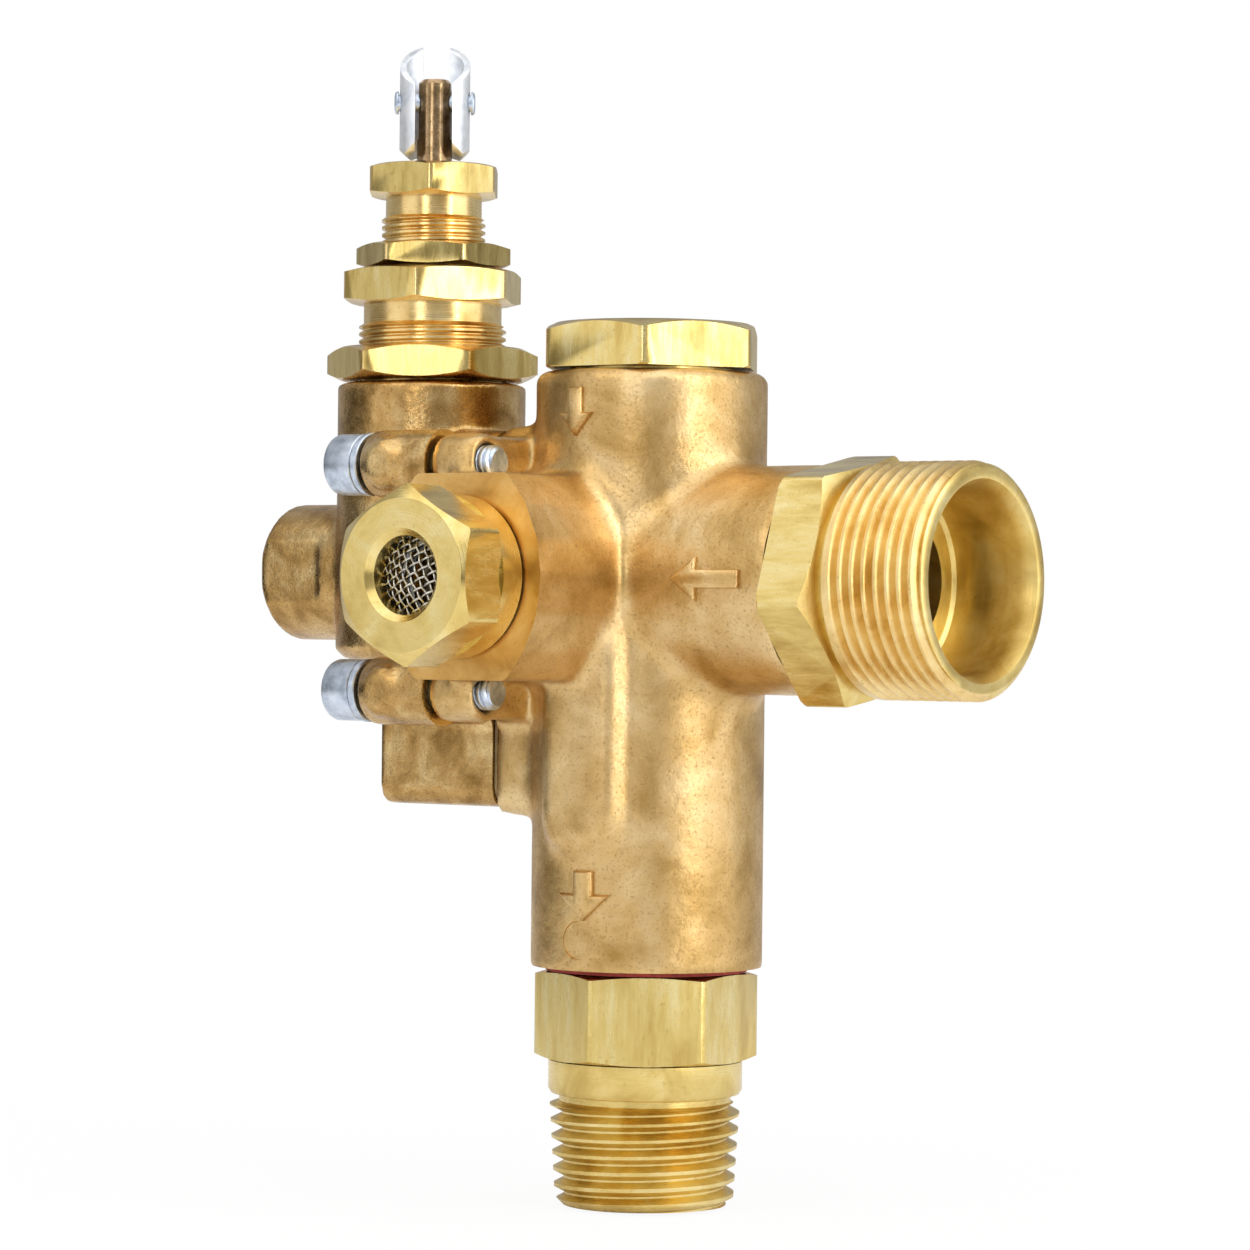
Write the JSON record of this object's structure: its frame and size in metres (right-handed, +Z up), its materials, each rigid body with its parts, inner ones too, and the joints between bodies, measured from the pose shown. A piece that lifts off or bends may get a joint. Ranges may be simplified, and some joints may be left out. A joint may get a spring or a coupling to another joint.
{
  "type": "compressor discharge unloader valve",
  "caption": "Forged brass check and discharge unloader valve with a bolted pilot valve, toggle lever, threaded inlet adapter and tapered outlet nipple.",
  "frame": {"origin": "centre of the outlet nipple's lower end", "axes": "+Z up the main column towards the top plug, +X out of the inlet adapter, -Y out of the exhaust fitting, pilot valve at -X"},
  "size_m": [0.0964, 0.0591, 0.1331],
  "materials": {
    "forged_brass": "fine-grained forged skin",
    "machined_brass": "bright machined",
    "zinc_plate": "bright zinc plated steel",
    "stainless_wire": "drawn wire",
    "spring_steel": "drawn spring wire",
    "red_fibre": "matt red sealing ring",
    "black_nitrile": "moulded nitrile"
  },
  "bodies": {
    "valve_body": {"main_body": "forged_brass", "top_plug": "machined_brass", "outlet_nipple": "machined_brass", "outlet_gasket": "red_fibre", "inlet_adapter": "machined_brass", "exhaust_fitting": "machined_brass", "exhaust_screen": "stainless_wire", "pilot_body": "forged_brass", "pilot_gasket": "black_nitrile", "cap_screw_front_upper": "zinc_plate", "cap_screw_front_lower": "zinc_plate", "cap_screw_rear_upper": "zinc_plate", "cap_screw_rear_lower": "zinc_plate", "lock_washer_front_upper": "zinc_plate", "lock_washer_front_lower": "zinc_plate", "lock_washer_rear_upper": "zinc_plate", "lock_washer_rear_lower": "zinc_plate", "pilot_seat": "machined_brass", "check_spring": "spring_steel", "pilot_spring": "spring_steel"},
    "check_valve": {"check_disc": "machined_brass", "check_seal": "black_nitrile"},
    "unloader": {"unloader_poppet": "machined_brass", "unloader_seal": "black_nitrile", "unloader_spring": "spring_steel"},
    "ball": {"pilot_ball": "spring_steel"},
    "lower_nut": {"lower_locknut": "machined_brass"},
    "pressure_setting": {"pressure_screw": "machined_brass"},
    "upper_nut": {"upper_locknut": "machined_brass"},
    "differential_setting": {"differential_screw": "machined_brass"},
    "stem": {"pilot_stem": "machined_brass", "spring_seat": "machined_brass", "toggle_pin": "zinc_plate"},
    "toggle": {"toggle_lever": "zinc_plate"}
  },
  "joints": [
    {"name": "check_slide", "type": "slide", "parent": "valve_body", "child": "check_valve", "axis": [0, 0, -1], "range_m": [0, 0.003], "stiffness_N_per_m": 300, "deforming": ["check_spring"]},
    {"name": "unloader_slide", "type": "slide", "parent": "valve_body", "child": "unloader", "axis": [0, -1, 0], "range_m": [0, 0.002], "stiffness_N_per_m": 400},
    {"name": "ball_lift", "type": "slide", "parent": "valve_body", "child": "ball", "axis": [0, 0, 1], "range_m": [0, 0.001]},
    {"name": "lower_nut_turn", "type": "hinge", "parent": "valve_body", "child": "lower_nut", "pos_m": [-0.0319, 0, 0.0952], "axis": [0, 0, 1], "continuous": true},
    {"name": "pressure_turn", "type": "hinge", "parent": "valve_body", "child": "pressure_setting", "pos_m": [-0.0319, 0, 0.1045], "axis": [0, 0, 1], "continuous": true},
    {"name": "upper_nut_turn", "type": "hinge", "parent": "pressure_setting", "child": "upper_nut", "pos_m": [-0.0319, 0, 0.1085], "axis": [0, 0, 1], "continuous": true},
    {"name": "differential_turn", "type": "hinge", "parent": "pressure_setting", "child": "differential_setting", "pos_m": [-0.0319, 0, 0.1165], "axis": [0, 0, 1], "continuous": true},
    {"name": "stem_slide", "type": "slide", "parent": "valve_body", "child": "stem", "axis": [0, 0, -1], "range_m": [0, 0.0015], "deforming": ["pilot_spring"]},
    {"name": "toggle_turn", "type": "hinge", "parent": "stem", "child": "toggle", "pos_m": [-0.0319, 0, 0.1261], "axis": [0.8049, 0.5934, 0], "range_deg": [0, 90]}
  ],
  "couplings": [
    {"joint": "toggle_turn", "follows": "stem_slide", "rad_per_m": 1047.2}
  ]
}
